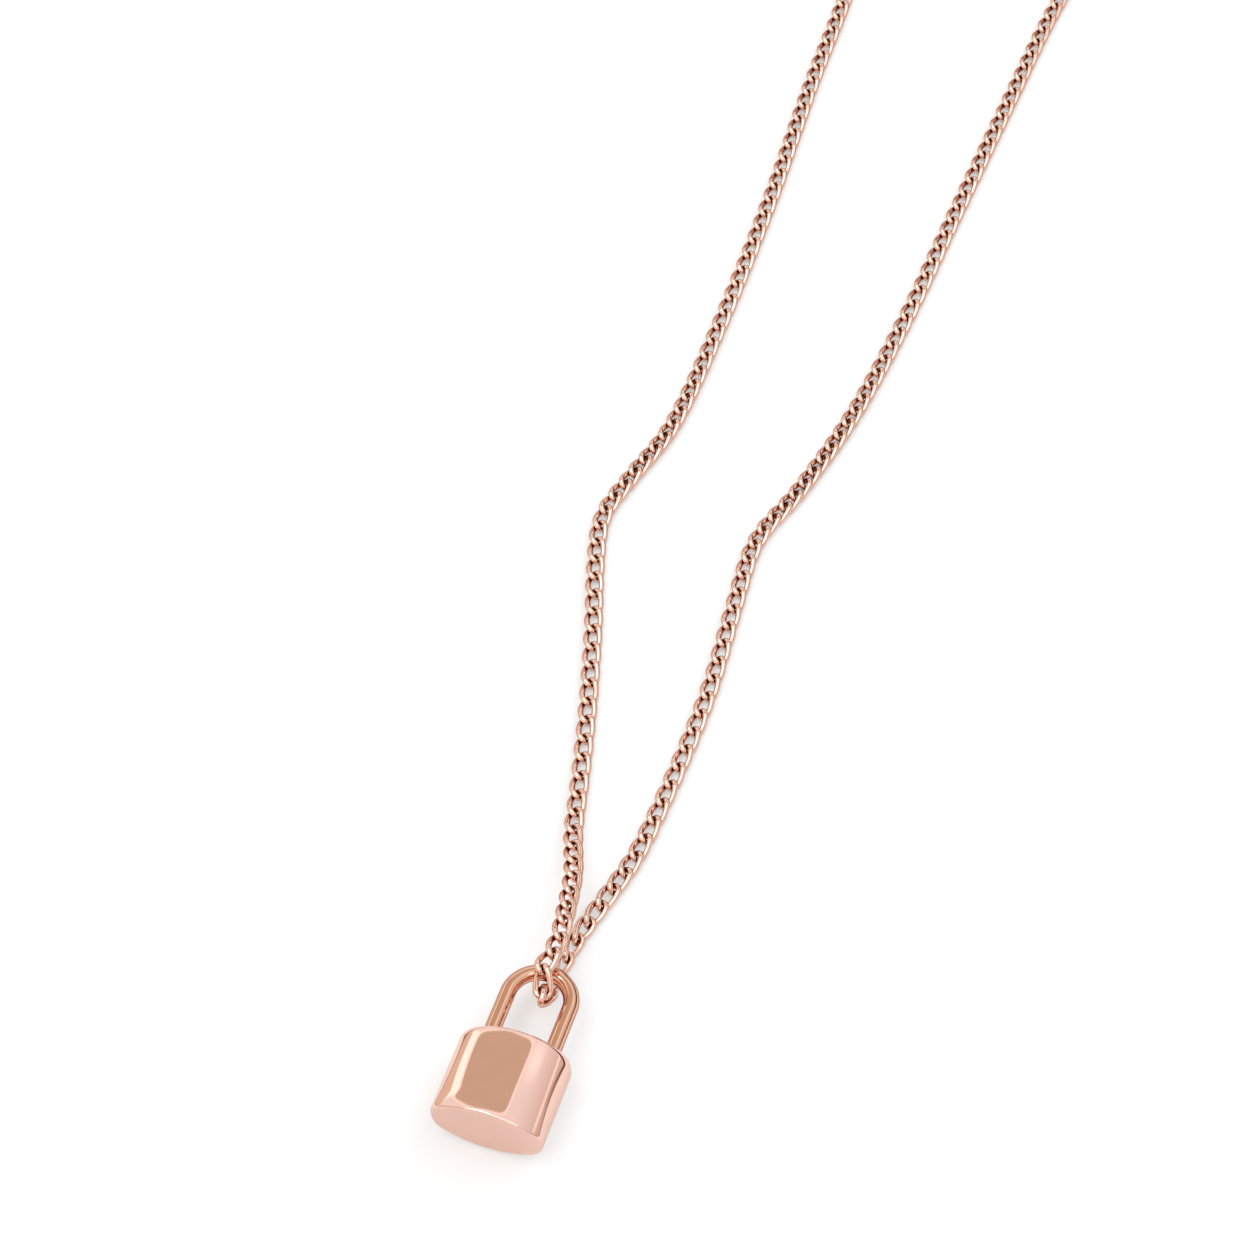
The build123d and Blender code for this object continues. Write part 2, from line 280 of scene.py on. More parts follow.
def rounded_inset(radius, depth):
    """How far a rounded edge has drawn a wall in at this depth from the end."""
    near = np.clip(radius - depth, 0, None)
    return radius - np.sqrt(radius**2 - near**2)


def crowded_shares(count):
    """Shares from 0 to 1 that crowd towards 1."""
    return 1 - (1 - np.linspace(0, 1, count)) ** CROWDING


def slice_depths(edge_radius, corner_radius, corner_slices):
    """Depths below an end, with even turns round its two roundings."""
    edge = edge_radius * (1 - np.cos(np.linspace(0, math.pi / 2, EDGE_SLICES)))
    corner = corner_radius * (1 - np.cos(np.linspace(0, math.pi / 2, corner_slices)))
    return np.concatenate([edge, corner[corner > CORNER_START * edge_radius]])


def halved(low, high, test):
    """Where test turns from false to true between two arrays."""
    for _ in range(HALVINGS):
        middle_value = (low + high) / 2
        past = test(middle_value)
        high = np.where(past, middle_value, high)
        low = np.where(past, low, middle_value)
    return (low + high) / 2


def lock_mesh():
    """Points and faces of the lock's body."""
    face_half_width = body_half_width - SIDE_BOW
    face_radius = arc_radius(2 * face_half_width, body_half_thickness - SIDE_THICKNESS / 2)
    crown_radius = arc_radius(body_height, FACE_CROWN)
    side_radius = arc_radius(SIDE_THICKNESS, SIDE_BOW)
    side_centre = body_half_width - side_radius
    wall_angle = WALL_ARC * math.asin(SIDE_THICKNESS / 2 / side_radius)

    from_bottom = slice_depths(BOTTOM_EDGE_RADIUS, BOTTOM_CORNER_RADIUS, BOTTOM_CORNER_SLICES)
    from_top = slice_depths(TOP_EDGE_RADIUS, TOP_CORNER_RADIUS, TOP_CORNER_SLICES)
    middle_end = body_height - TOP_CORNER_RADIUS
    middle = np.linspace(BOTTOM_CORNER_RADIUS, middle_end, MIDDLE_SLICES)[1:-1]
    along = np.concatenate([from_bottom, middle, body_height - from_top[::-1]])[:, None]
    depth = np.minimum(along, body_height - along)
    in_lower_half = along < body_height / 2
    corner_radius = np.where(in_lower_half, BOTTOM_CORNER_RADIUS, TOP_CORNER_RADIUS)
    wall_inset = rounded_inset(corner_radius, depth)
    end_radius = np.where(in_lower_half, BOTTOM_EDGE_RADIUS, TOP_EDGE_RADIUS)
    face_inset = rounded_inset(end_radius, depth)
    fade = np.clip(1 - depth / corner_radius, 0, 1)
    edge_radius = SIDE_EDGE_RADIUS + (end_radius - SIDE_EDGE_RADIUS) * fade

    def face_height(across):
        bow = face_radius - np.sqrt(face_radius**2 - across**2)
        turned = np.sqrt((crown_radius - bow) ** 2 - (along - body_height / 2) ** 2)
        return body_half_thickness - crown_radius + turned - face_inset

    def outside_face(across, height):
        slope = np.sqrt(1 - (across / face_radius) ** 2)
        return (height - face_height(across)) * slope

    def outside_wall(across, height):
        beyond = across - side_centre
        on_arc = np.arctan2(height, beyond) <= wall_angle
        arc = np.hypot(beyond, height) - side_radius
        flat = beyond * math.cos(wall_angle) + height * math.sin(wall_angle) - side_radius
        return np.where(on_arc, arc, flat) + wall_inset

    def outside(across, height):
        face = outside_face(across, height) + edge_radius
        wall = outside_wall(across, height) + edge_radius
        both = np.hypot(np.clip(face, 0, None), np.clip(wall, 0, None))
        return np.where((face > 0) & (wall > 0), both, np.maximum(face, wall)) - edge_radius

    edge_across = halved(
        np.zeros_like(along),
        np.full_like(along, EDGE_SEARCH * body_half_width),
        lambda x: outside_wall(x, face_height(x)) > 0,
    )
    edge_angle = np.arctan2(face_height(edge_across), edge_across)
    wall_share = crowded_shares(WALL_POINTS)[None, :]
    face_share = crowded_shares(FACE_POINTS)[None, ::-1][:, 1:]
    angles = np.concatenate(
        [edge_angle * wall_share, edge_angle + (math.pi / 2 - edge_angle) * (1 - face_share)], axis=1
    )
    cosines = np.cos(angles)
    sines = np.sin(angles)
    reach = halved(
        np.zeros_like(angles),
        np.full_like(angles, OUTLINE_SEARCH * body_half_width),
        lambda r: outside(r * cosines, r * sines) > 0,
    )
    across = reach * cosines
    height = reach * sines
    # one quarter becomes the whole ring, from the right wall over the front face
    ring_across = np.concatenate(
        [across, -across[:, -2::-1], -across[:, 1:], across[:, -2:0:-1]], axis=1
    )
    ring_height = np.concatenate(
        [height, height[:, -2::-1], -height[:, 1:], -height[:, -2:0:-1]], axis=1
    )
    rows, columns = ring_across.shape
    points = np.stack(
        [ring_across, np.broadcast_to(along, ring_across.shape), ring_height + body_half_thickness],
        axis=2,
    ).reshape(-1, 3)
    faces = [face[::-1] for face in ring_faces(rows, columns, False)]
    return points, faces, rows, columns


def add_flat_end(points, faces, ring, holes, facing):
    """Closes a ring of points with a flat face, with an inner rim so that its shading stays flat.
    Holes are rings of points that the face leaves open."""
    start = len(points)
    outer = points[ring]
    centre = outer.mean(axis=0)
    inward = centre - outer
    rim = outer + inward * (FLAT_RIM / np.linalg.norm(inward, axis=1))[:, None]
    count = len(ring)
    for index in range(count):
        beside = (index + 1) % count
        quad = (ring[index], ring[beside], start + beside, start + index)
        faces.append(quad[::-1] if facing > 0 else quad)
    loops = [rim, *holes]
    flat = np.concatenate(loops)
    loop_starts = np.cumsum([0] + [len(loop) for loop in loops])
    edges = []
    for first, loop in zip(loop_starts, loops):
        edges += [(first + i, first + (i + 1) % len(loop)) for i in range(len(loop))]
    flat_points = [Vector((across, height)) for across, _, height in flat / MM]
    result = delaunay_2d_cdt(flat_points, edges, [], INSIDE_ONLY, SAME_POINT)
    triangles, points_before = result[2:4]
    for triangle in triangles:
        indices = [points_before[index][0] for index in triangle]
        loops_met = set(np.searchsorted(loop_starts, indices, side="right"))
        if len(loops_met) == 1 and loops_met != {1}:
            continue  # a triangle between points of one hole lies in the hole
        corners = flat[indices]
        normal = np.cross(corners[1] - corners[0], corners[2] - corners[0])
        face = [start + index for index in indices]
        faces.append(tuple(face if normal[1] * facing > 0 else face[::-1]))
    return np.concatenate([points, flat]), start + loop_starts


def make_lock_body(material):
    """The lock's body, its flat ends closed and the two sockets sunk into its top."""
    points, faces, rows, columns = lock_mesh()
    bottom_ring = np.arange(columns)
    top_ring = np.arange((rows - 1) * columns, rows * columns)
    points, _ = add_flat_end(points, faces, bottom_ring, [], -1)
    turn = even_angles(SHACKLE_SIDES)
    socket_radius = SHACKLE_WIRE / 2 + SOCKET_CLEARANCE
    mouths = []
    for side in (-1, 1):
        mouths.append(
            np.stack(
                [
                    side * LEG_SPACING / 2 + socket_radius * np.cos(turn),
                    np.full_like(turn, body_height),
                    body_half_thickness + socket_radius * np.sin(turn),
                ],
                axis=1,
            )
        )
    points, loop_starts = add_flat_end(points, faces, top_ring, mouths, 1)
    for mouth, mouth_start in zip(mouths, loop_starts[1:]):
        floor_start = len(points)
        floor = mouth - (0, SOCKET_DEPTH, 0)
        points = np.concatenate([points, floor])
        for index in range(SHACKLE_SIDES):
            beside = (index + 1) % SHACKLE_SIDES
            faces.append(
                (mouth_start + index, floor_start + index, floor_start + beside, mouth_start + beside)
            )
        faces.append(tuple(range(floor_start, floor_start + SHACKLE_SIDES))[::-1])
    return add_piece("padlock_body", points, faces, material, "lock_body")


def make_shackle(material):
    """The U of round wire, its two feet closed inside the sockets."""
    foot = body_height - SOCKET_DEPTH + SOCKET_CLEARANCE
    half = LEG_SPACING / 2
    leg = np.linspace(foot, shoulder_along, LEG_POINTS)
    left = np.stack([np.full_like(leg, -half), leg], axis=1)
    bend = math.pi - np.linspace(0, math.pi, SHACKLE_BEND_POINTS)[1:-1]
    arch = np.stack([half * np.cos(bend), shoulder_along + half * np.sin(bend)], axis=1)
    line = np.concatenate([left, arch, left[::-1] * (-1, 1)])
    ahead = np.gradient(line, axis=0)
    ahead /= np.linalg.norm(ahead, axis=1)[:, None]
    turn = even_angles(SHACKLE_SIDES)
    radius = SHACKLE_WIRE / 2
    outward = np.stack([-ahead[:, 1], ahead[:, 0]], axis=1)
    points = np.zeros((len(line), SHACKLE_SIDES, 3))
    points[:, :, 0] = line[:, :1] + radius * np.cos(turn) * outward[:, :1]
    points[:, :, 1] = line[:, 1:] + radius * np.cos(turn) * outward[:, 1:]
    points[:, :, 2] = body_half_thickness + radius * np.sin(turn)
    faces = ring_faces(len(line), SHACKLE_SIDES, False)
    last = (len(line) - 1) * SHACKLE_SIDES
    faces.append(tuple(range(SHACKLE_SIDES))[::-1])
    faces.append(tuple(range(last, last + SHACKLE_SIDES)))
    return add_piece("shackle_bow", points.reshape(-1, 3), faces, material, "shackle")


def rounded_path(corners, reaches, steps):
    """A path through corners, each rounded by an arc that starts its reach before the corner."""
    path = [np.array(corners[0])]
    for index, reach in enumerate(reaches, start=1):
        corner = np.array(corners[index])
        before = np.array(corners[index - 1]) - corner
        after = np.array(corners[index + 1]) - corner
        before = before / np.linalg.norm(before)
        after = after / np.linalg.norm(after)
        middle = (before + after) / np.linalg.norm(before + after)
        half_angle = math.acos(before @ middle)
        centre = corner + middle * reach / math.cos(half_angle)
        start = corner + before * reach - centre
        end = corner + after * reach - centre
        sweep = math.pi - 2 * half_angle
        for step in range(steps + 1):
            share = step / steps
            weights = (math.sin((1 - share) * sweep), math.sin(share * sweep))
            path.append(centre + (weights[0] * start + weights[1] * end) / math.sin(sweep))
    path.append(np.array(corners[-1]))
    return path


def link_mesh():
    """One link about its own middle, its length along X and its flat side up."""
    half_length = LINK_PITCH / 2 + link_reach
    half_width = (LINK_WIDTH - LINK_WIRE) / 2
    end_out = half_width * math.cos(math.radians(LINK_TURN))
    end_up = half_width * math.sin(math.radians(LINK_TURN))
    corners = [
        (half_length, 0, 0),
        (half_length, end_out, end_up),
        (0, half_width, 0),
        (-half_length, end_out, -end_up),
        (-half_length, 0, 0),
    ]
    side_length = math.dist(corners[1], corners[2])
    end_reach = LINK_END_BEND * half_width
    reaches = (end_reach, LINK_SIDE_BEND * side_length, end_reach)
    half = np.array(rounded_path(corners, reaches, LINK_BEND_STEPS))
    other = (half * (1, -1, -1))[::-1]
    wire = LINK_WIRE + LINK_FULLNESS
    return closed_tube(np.concatenate([half[:-1], other[:-1]]), wire / 2, LINK_SIDES)


# The chain's route


def smooth_row(rows, place):
    """The row at a place between rows, each column on one smooth curve through its values."""
    first = min(int(place), len(rows) - 2)
    part = place - first
    near = [rows[min(max(first + step, 0), len(rows) - 1)] for step in (-1, 0, 1, 2)]
    return [
        b + part / 2 * (c - a + part * (2 * a - 5 * b + 4 * c - d + part * (3 * b - 3 * c + d - a)))
        for a, b, c, d in zip(*near)
    ]


def handovers(rows):
    """Points a link apart along a route, the first and last at its ends, with each link's roll."""
    places = [step / ROUTE_STEPS for step in range(ROUTE_STEPS * (len(rows) - 1) + 1)]
    marks = [smooth_row(rows, place) for place in places]
    counts = [0.0]
    for here, there in zip(marks, marks[1:]):
        counts.append(counts[-1] + math.dist(here[:3], there[:3]) / (LINK_PITCH * here[4]))
    links = math.ceil(counts[-1])
    found = []
    for number in range(links + 1):
        place = float(np.interp(counts[-1] * number / links, counts, places))
        across, along, height, roll, _ = smooth_row(rows, place)
        found.append((Vector((across, along, height)), roll))
    return found


def link_place(start, end, side, roll):
    """Matrix of the link between two handovers, its width along side before it is rolled."""
    forward = (end - start).normalized()
    flat = (side - forward * forward.dot(side)).normalized()
    width = Matrix.Rotation(math.radians(roll), 3, forward) @ flat
    up = forward.cross(width)
    return np.array((forward, width, up)).T, np.array((start + end) / 2)


def link_places(points, sense):
    """Places of a strand's links, with their flat side up. Sense is 1 on the way down, else -1."""
    up = Vector((0, 0, sense))
    return [
        link_place(start, end, up.cross(end - start), roll)
        for (start, roll), (end, _) in zip(points, points[1:])
    ]


def chain_places():
    """Places of the links of the left and the right chain."""
    bar_middle = Vector((0, bar_along, body_half_thickness))
    turn_points = [
        (bar_middle + Vector((across, along, up)) * wrap_radius, roll)
        for across, along, up, roll in TURN
    ]
    turn_places = [
        link_place(start, end, Vector((1, 0, 0)), roll)
        for (start, roll), (end, _) in zip(turn_points, turn_points[1:])
    ]
    turn_rows = [(*point, roll, TURN_SHARE) for point, roll in turn_points]
    eye_roll = LINK_TURN - HOOK_LEAN + 90
    ring_roll = -90 - LINK_TURN - RING_LEAN
    eye_row = (CLASP_ACROSS + eye_catch - link_reach, CLASP_ALONG, hook_height, eye_roll, 1.0)
    ring_row = (CLASP_ACROSS + ring_catch + link_reach, CLASP_ALONG, ring_height, ring_roll, 1.0)
    left = link_places(handovers([eye_row, *LEFT_ROUTE, turn_rows[0]]), 1)
    right = link_places(handovers([turn_rows[-1], *RIGHT_ROUTE, ring_row]), -1)
    return left + turn_places[:LEFT_TURN_LINKS], turn_places[LEFT_TURN_LINKS:] + right


def make_chain(name, places, material, node):
    """One strand: a copy of the link at each place, joined into one mesh, and lifted so that the
    fuller wire doesn't reach lower than the part's."""
    link_points, link_faces = link_mesh()
    link_faces = np.array(link_faces)
    lift = (0, 0, LINK_FULLNESS / 2)
    points = np.concatenate([link_points @ turn.T + middle + lift for turn, middle in places])
    faces = np.concatenate([link_faces + index * len(link_points) for index in range(len(places))])
    return add_piece(name, points, faces.tolist(), material, node)


def leaning(path, across, height, lean):
    """A flat path put on the clasp's line, leaning by degrees about that line."""
    tilt = math.radians(lean)
    return [
        (
            CLASP_ACROSS + across + x,
            CLASP_ALONG + y * math.cos(tilt),
            height + y * math.sin(tilt),
        )
        for x, y in path
    ]


def circle(radius, count):
    """Points round a flat circle."""
    angles = even_angles(count)
    return list(zip(radius * np.cos(angles), radius * np.sin(angles)))


def make_clasp(material):
    """The closed hook and the eye at its end, as one piece."""
    straight = hook_end - hook_bend
    right = np.linspace(-math.pi / 2, math.pi / 2, HOOK_BEND_POINTS)
    left = right + math.pi
    outline = [(straight + hook_bend * math.cos(a), hook_bend * math.sin(a)) for a in right]
    outline += [(-straight + hook_bend * math.cos(a), hook_bend * math.sin(a)) for a in left]
    hook = closed_tube(leaning(outline, 0, hook_height, HOOK_LEAN), HOOK_WIRE / 2, WIRE_SIDES)
    eye_middle = -hook_end - eye_radius
    eye_path = leaning(circle(eye_radius, EYE_POINTS), eye_middle, hook_height, HOOK_LEAN)
    eye = closed_tube(eye_path, EYE_WIRE / 2, WIRE_SIDES)
    points = np.concatenate([hook[0], eye[0]])
    faces = hook[1] + [tuple(index + len(hook[0]) for index in face) for face in eye[1]]
    return add_piece("clasp_hook", points, faces, material, "clasp")


def make_end_ring(material):
    """The plain ring in the hook."""
    ring_middle = ring_near + ring_radius
    path = leaning(circle(ring_radius, RING_POINTS), ring_middle, ring_height, RING_LEAN)
    points, faces = closed_tube(path, RING_WIRE / 2, WIRE_SIDES)
    return add_piece("clasp_ring", points, faces, material, "end_ring")


# The metals. Spans are the values between which something goes from nothing to full.
CLOUD_DETAIL = 3.0
CLOUD_SPAN = (0.3, 0.7)
CLOUD_DARKENING = 0.97
GLOSS_SPREAD = (0.8, 1.2)  # as shares of the roughness
# painted shade: the colour goes towards a brown where ambient occlusion finds other metal close
OPEN_SPAN = (0.3, 0.85)  # of ambient occlusion, where 1 is open
OPEN_SAMPLES = 8
# the span over which the painted shade on the upright sides fades out
LEVEL_SPAN = (0.15, 0.5)  # of the normal's upward part, without its sign
ROSE_GOLD = (0.913, 0.61, 0.53)
DEEP_ROSE_GOLD = (0.82, 0.5, 0.37)
CHAIN_ROSE_GOLD = (0.92, 0.64, 0.53)
FAINT_EDGE = (0.9, 0.85, 0.8)
DARK_EDGE = (0.3, 0.1, 0.06)
# the colour of the painted shade where metal is close to other metal
PAINTED_SHADE_BROWN = (0.3, 0.09, 0.05)
# painted shade: the colour is multiplied by this on upright sides
PAINTED_SIDE_SHADE = (0.88, 0.87, 0.85)
NO_TINT = (1, 1, 1)


class Shading:
    """Adds nodes to a tree. Each method gives the new node's output, and takes numbers, colours and
    other nodes' outputs alike."""

    def __init__(self, tree):
        self.nodes = tree.nodes
        self.links = tree.links

    def fill(self, socket, value):
        """Sets a socket to a number or colour, or links another node's output to it."""
        if isinstance(value, bpy.types.NodeSocket):
            self.links.new(value, socket)
        else:
            socket.default_value = value

    def separated(self, vector):
        """A vector's three parts."""
        node = self.nodes.new("ShaderNodeSeparateXYZ")
        self.fill(node.inputs["Vector"], vector)
        return node.outputs

    def worked(self, operation, *values):
        """The result of a sum of values, by its name in the Math node."""
        node = self.nodes.new("ShaderNodeMath")
        node.operation = operation
        for socket, value in zip(node.inputs, values):
            self.fill(socket, value)
        return node.outputs[0]

    def ranged(self, value, low, high, to_low=0.0, to_high=1.0, interpolation="LINEAR"):
        """Runs from to_low, where the value is low or less, to to_high, where it is high or more."""
        node = self.nodes.new("ShaderNodeMapRange")
        node.interpolation_type = interpolation
        self.fill(node.inputs["Value"], value)
        node.inputs["From Min"].default_value = low
        node.inputs["From Max"].default_value = high
        node.inputs["To Min"].default_value = to_low
        node.inputs["To Max"].default_value = to_high
        return node.outputs["Result"]

    def rising(self, value, low, high):
        """0 below low and 1 above high, smooth between."""
        return self.ranged(value, low, high, interpolation="SMOOTHSTEP")

    def falling(self, value, low, high):
        """1 below low and 0 above high, smooth between."""
        return self.worked("SUBTRACT", 1.0, self.rising(value, low, high))

    def between(self, value, low, high, softness):
        """1 from low to high and 0 outside, smooth over the softness to each side of either end."""
        over = self.rising(value, low - softness, low + softness)
        under = self.falling(value, high - softness, high + softness)
        return self.worked("MULTIPLY", over, under)

    def mixed(self, under, over, share, blend="MIX"):
        """A share of one colour over another."""
        node = self.nodes.new("ShaderNodeMix")
        node.data_type = "RGBA"
        node.blend_type = blend
        self.fill(node.inputs["A"], under)
        self.fill(node.inputs["B"], over)
        self.fill(node.inputs["Factor"], share)
        return node.outputs["Result"]

    def painted(self, under, colour, *shares):
        """A colour laid over what is under it, by the product of its shares."""
        share = shares[0]
        for other in shares[1:]:
            share = self.worked("MULTIPLY", share, other)
        return self.mixed(under, (*colour, 1), share)


def polished_metal(
    name,
    colour,
    roughness,
    grain,
    hollow_reach,
    edge_tint=DARK_EDGE,
    painted_shade_tint=PAINTED_SHADE_BROWN,
    side_shade=NO_TINT,
):
    """Polished rose-gold plate: faint cloudiness in its colour and gloss, and painted shade in its
    colour where the metal faces other metal closely and on the upright sides."""
    material = bpy.data.materials.new(name)
    material.use_nodes = True
    tree = Shading(material.node_tree)
    shader = tree.nodes["Principled BSDF"]
    shader.inputs["Metallic"].default_value = 1.0
    shader.inputs["Specular Tint"].default_value = (*edge_tint, 1)

    cloud = tree.nodes.new("ShaderNodeTexNoise")
    cloud.inputs["Scale"].default_value = grain
    cloud.inputs["Detail"].default_value = CLOUD_DETAIL
    place = tree.nodes.new("ShaderNodeTexCoord")
    tree.fill(cloud.inputs["Vector"], place.outputs["Object"])
    tint = tree.nodes.new("ShaderNodeValToRGB")
    darker = [CLOUD_DARKENING * value for value in colour]
    for stop, position, value in zip(tint.color_ramp.elements, CLOUD_SPAN, (darker, colour)):
        stop.position = position
        stop.color = (*value, 1)
    tree.fill(tint.inputs["Fac"], cloud.outputs["Fac"])

    # painted shade: ambient occlusion darkens the colour between links and close parts
    hollow = tree.nodes.new("ShaderNodeAmbientOcclusion")
    hollow.samples = OPEN_SAMPLES
    hollow.inputs["Distance"].default_value = hollow_reach
    openness = tree.rising(hollow.outputs["AO"], *OPEN_SPAN)
    # the cloudy colour with the painted shade mixed in where other metal is close
    with_painted_shade = tree.mixed((*painted_shade_tint, 1), tint.outputs["Color"], openness)

    # painted shade: upright sides get a darker colour, by how little the normal points up or down
    facing = tree.nodes.new("ShaderNodeNewGeometry")
    upward = tree.worked("ABSOLUTE", tree.separated(facing.outputs["Normal"])["Z"])
    upright = tree.worked("SUBTRACT", 1.0, tree.ranged(upward, *LEVEL_SPAN))
    tree.fill(shader.inputs["Base Color"], tree.mixed(with_painted_shade, (*side_shade, 1), upright, "MULTIPLY"))

    rough_low, rough_high = [share * roughness for share in GLOSS_SPREAD]
    gloss = tree.ranged(cloud.outputs["Fac"], *CLOUD_SPAN, rough_low, rough_high)
    tree.fill(shader.inputs["Roughness"], gloss)
    return material


# The surface
FLOOR_REACH = 3.0
FLOOR_COLOUR = (0.44, 0.45, 0.46)
FLOOR_GLOW = 0.42
FLOOR_ROUGHNESS = 0.6


def make_floor():
    """The pale surface that the necklace lies on, with a little light of its own."""
    mesh = bpy.data.meshes.new("studio_floor")
    reach = FLOOR_REACH
    mesh.from_pydata(
        [(-reach, -reach, 0), (reach, -reach, 0), (reach, reach, 0), (-reach, reach, 0)],
        [],
        [(0, 1, 2, 3)],
    )
    floor = bpy.data.objects.new("studio_floor", mesh)
    bpy.context.scene.collection.objects.link(floor)
    material = bpy.data.materials.new("pale_surface")
    material.use_nodes = True
    shader = material.node_tree.nodes["Principled BSDF"]
    shader.inputs["Base Color"].default_value = (*FLOOR_COLOUR, 1)
    shader.inputs["Emission Color"].default_value = (1, 1, 1, 1)
    shader.inputs["Emission Strength"].default_value = FLOOR_GLOW
    shader.inputs["Roughness"].default_value = FLOOR_ROUGHNESS
    mesh.materials.append(material)


# Camera: places in the lock's own corner of the frame
CAMERA_PLACE = Vector((0.0561, -0.1285, 0.2542))
CAMERA_AIM = Vector((-0.00687, 0.05982, 0.0))
FIELD_OF_VIEW = 22.0
SENSOR_WIDTH = 36.0  # millimetres, as the lens is
NEAREST_SEEN = 0.01


def make_camera():
    """The photo's view, fitted to the photo."""
    data = bpy.data.cameras.new("camera")
    data.sensor_width = SENSOR_WIDTH
    data.lens = data.sensor_width / 2 / math.tan(math.radians(FIELD_OF_VIEW / 2))
    data.clip_start = NEAREST_SEEN
    camera = bpy.data.objects.new("camera", data)
    bpy.context.scene.collection.objects.link(camera)
    camera.location = lock_origin + CAMERA_PLACE
    camera.rotation_mode = "QUATERNION"
    camera.rotation_quaternion = (CAMERA_AIM - CAMERA_PLACE).to_track_quat("-Z", "Y")
    bpy.context.scene.camera = camera


# The studio as the metal sees it. Leans are degrees from straight up towards +X; across, along and up
# are the direction's parts. A place is where something starts and ends and, where there is a third
# number, how softly.
PALE = (1.0, 1.0, 1.0)
FAR_SIDE = (0.66, 0.55, 0.47)
FAR_SIDE_LEAN = (18, 75)
FAR_RIM_LEAN = (50.5, 53.5, 1.0)
FAR_RIM_ALONG = (0.2, 0.3)
NEAR_SIDE = (0.84, 0.72, 0.58)
NEAR_SIDE_PAST_CARD = (-13, -11)

CARD = (0.67, 0.56, 0.43)
CARD_RIM = (1.15, 1.12, 1.05)
CARD_RIGHT = 12.0
CARD_LEFT = (-45.0, -38.0)  # its left edge's lean, for each unit along and where along is 0
CARD_FLARE = 9.0
CARD_FLARE_ALONG = (0.29, 0.35)
CARD_TAPER_LEAN = (-72, -20)
CARD_FOOT = (0.085, 0.232)  # where its foot lies along: added by the taper, and without it
CARD_HEAD = (-0.06, 0.66)
CARD_SQUARENESS = 9.0
CARD_REACH = (0.85, 1.05)
CARD_RIM_REACH = (1.5, 2.0)

STRIP = (1.5, 1.5, 1.42)
STRIP_PAST_CARD = (-12.0, 3.0, 0.8)
STRIP_ALONG = (0.315, 0.595, 0.01)
SIDE_GLOW = (1.3, 1.25, 1.2)
SIDE_GLOW_ALONG = (0.48, 0.64, 0.08)
SIDE_GLOW_LEAN = (17, 30, 6)
FRONT_GLOW = (2.6, 2.5, 2.35)
FRONT_GLOW_ALONG = (-0.62, -0.3, 0.02)
FRONT_GLOW_LEAN = (-40, 32, 2)
LAMP = (5.0, 4.8, 4.6)
LAMP_ALONG = (-0.26, 0.1, 0.03)
LAMP_LEAN = (-27, -5, 2)
LOW_EDGE = (0.16, 0.07, 0.04)
LOW_EDGE_UP = (0.03, 0.13)
BACK_EDGE_ALONG = (0.35, 0.6)
BACK_EDGE_ACROSS = (-0.05, 0.1)
BACK_EDGE_UP = (0.25, 0.42)


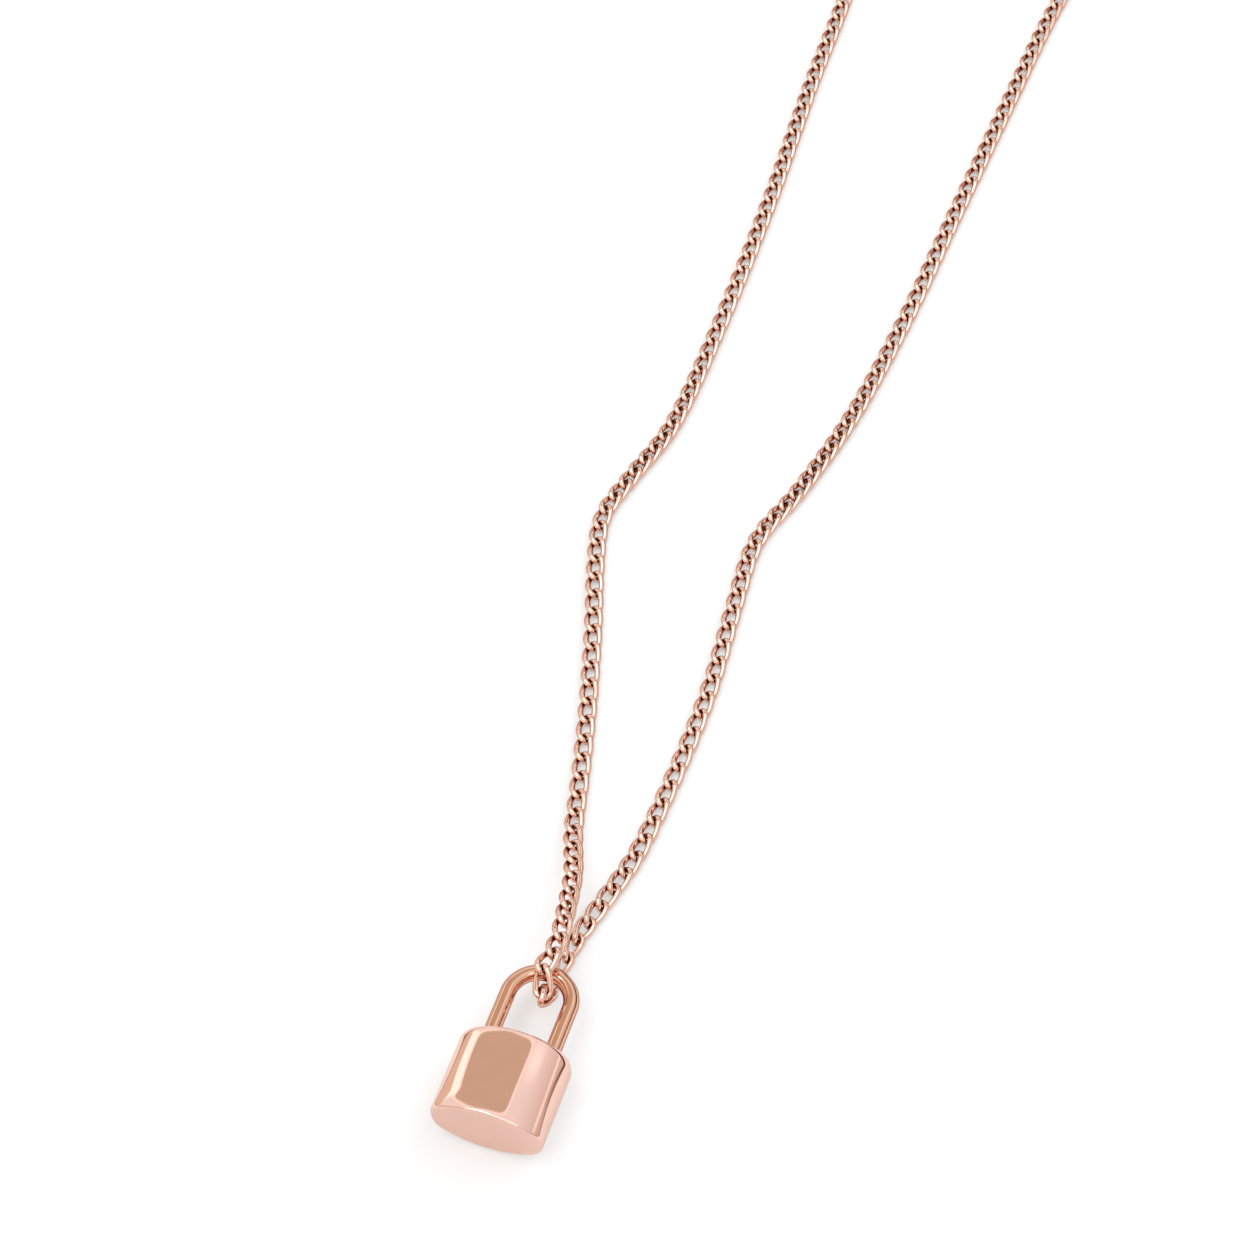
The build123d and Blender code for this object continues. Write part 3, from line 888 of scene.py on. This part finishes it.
def make_surroundings():
    """Pale all round, a broad tan card with a bright rim above and behind the lock, a bright strip to
    the card's left, a soft glow to its right, a softbox in front, a lamp above that, and a dark low
    edge that is higher at the right back."""
    world = bpy.data.worlds.new("studio")
    bpy.context.scene.world = world
    world.use_nodes = True
    tree = Shading(world.node_tree)
    place = tree.nodes.new("ShaderNodeTexCoord")
    across, along, up = tree.separated(place.outputs["Generated"])
    lean = tree.worked("MULTIPLY", tree.worked("ARCTAN2", across, up), math.degrees(1))

    tone = tree.painted((*PALE, 1), FAR_SIDE, tree.rising(lean, *FAR_SIDE_LEAN))
    far_rim = (tree.between(lean, *FAR_RIM_LEAN), tree.rising(along, *FAR_RIM_ALONG))
    tone = tree.painted(tone, CARD_RIM, *far_rim)

    # the card is an oblong with rounded corners: its left edge leans out with height and flares at the
    # foot, and its head and foot draw together towards the left
    flare = tree.worked("MULTIPLY", tree.falling(along, *CARD_FLARE_ALONG), CARD_FLARE)
    left_edge = tree.worked("SUBTRACT", tree.worked("MULTIPLY_ADD", along, *CARD_LEFT), flare)
    card_middle = tree.worked("MULTIPLY", tree.worked("ADD", left_edge, CARD_RIGHT), 0.5)
    card_half = tree.worked("MULTIPLY", tree.worked("SUBTRACT", CARD_RIGHT, left_edge), 0.5)
    off_middle = tree.worked("SUBTRACT", lean, card_middle)
    sideways = tree.worked("ABSOLUTE", tree.worked("DIVIDE", off_middle, card_half))
    taper = tree.falling(lean, *CARD_TAPER_LEAN)
    foot = tree.worked("MULTIPLY_ADD", taper, *CARD_FOOT)
    head = tree.worked("MULTIPLY_ADD", taper, *CARD_HEAD)
    card_height = tree.worked("SUBTRACT", head, foot)
    twice_middle = tree.worked("ADD", foot, head)
    twice_off = tree.worked("SUBTRACT", tree.worked("MULTIPLY", along, 2.0), twice_middle)
    lengthways = tree.worked("ABSOLUTE", tree.worked("DIVIDE", twice_off, card_height))
    powers = [tree.worked("POWER", value, CARD_SQUARENESS) for value in (sideways, lengthways)]
    oblong = tree.worked("ADD", *powers)

    past_left = tree.worked("SUBTRACT", lean, left_edge)
    tone = tree.painted(tone, NEAR_SIDE, tree.falling(past_left, *NEAR_SIDE_PAST_CARD))
    strip = (tree.between(past_left, *STRIP_PAST_CARD), tree.between(along, *STRIP_ALONG))
    tone = tree.painted(tone, STRIP, *strip)
    tone = tree.painted(tone, CARD_RIM, tree.falling(oblong, *CARD_RIM_REACH))
    tone = tree.painted(tone, CARD, tree.falling(oblong, *CARD_REACH))

    for colour, along_place, lean_place in (
        (SIDE_GLOW, SIDE_GLOW_ALONG, SIDE_GLOW_LEAN),
        (FRONT_GLOW, FRONT_GLOW_ALONG, FRONT_GLOW_LEAN),
        (LAMP, LAMP_ALONG, LAMP_LEAN),
    ):
        shares = (tree.between(along, *along_place), tree.between(lean, *lean_place))
        tone = tree.painted(tone, colour, *shares)
    tone = tree.painted(tone, LOW_EDGE, tree.falling(up, *LOW_EDGE_UP))
    right_back = tree.worked(
        "MULTIPLY", tree.rising(along, *BACK_EDGE_ALONG), tree.rising(across, *BACK_EDGE_ACROSS)
    )
    tone = tree.painted(tone, LOW_EDGE, right_back, tree.falling(up, *BACK_EDGE_UP))
    tree.fill(tree.nodes["Background"].inputs["Color"], tone)


# The light on the surface
SUN_STRENGTH = 1.4
SUN_COLOUR = (0.85, 0.92, 1.0)
SUN_SPREAD = 60.0
SUN_FROM = Vector((0.75, 0.75, 1.0))


def make_sun():
    """Soft light from the right, behind and above, which the metal doesn't mirror."""
    data = bpy.data.lights.new("soft_sun", "SUN")
    data.energy = SUN_STRENGTH
    data.color = SUN_COLOUR
    data.angle = math.radians(SUN_SPREAD)
    sun = bpy.data.objects.new("soft_sun", data)
    bpy.context.scene.collection.objects.link(sun)
    sun.rotation_mode = "QUATERNION"
    sun.rotation_quaternion = SUN_FROM.to_track_quat("Z", "Y")
    sun.visible_glossy = False


lock_metal = polished_metal(
    "rose_gold_lock",
    ROSE_GOLD,
    roughness=0.04,
    grain=600,
    hollow_reach=0.4 * MM,
    edge_tint=FAINT_EDGE,
    # painted shade: the lock's colour goes to the deeper rose gold where other metal is close
    painted_shade_tint=DEEP_ROSE_GOLD,
    # painted shade on the lock's side walls
    side_shade=PAINTED_SIDE_SHADE,
)
shackle_metal = polished_metal(
    "rose_gold_shackle", DEEP_ROSE_GOLD, roughness=0.06, grain=900, hollow_reach=0.8 * MM
)
chain_metal = polished_metal(
    "rose_gold_chain", CHAIN_ROSE_GOLD, roughness=0.06, grain=1500, hollow_reach=0.6 * MM
)
clasp_metal = polished_metal(
    "rose_gold_clasp", DEEP_ROSE_GOLD, roughness=0.08, grain=900, hollow_reach=0.5 * MM
)

make_lock_body(lock_metal)
make_shackle(shackle_metal)
left_links, right_links = chain_places()
make_chain("curb_chain_left", left_links, chain_metal, "chain_left")
make_chain("curb_chain_right", right_links, chain_metal, "chain_right")
make_clasp(clasp_metal)
make_end_ring(clasp_metal)

make_floor()
make_surroundings()
make_sun()
make_camera()
bpy.context.scene.view_settings.view_transform = "Standard"
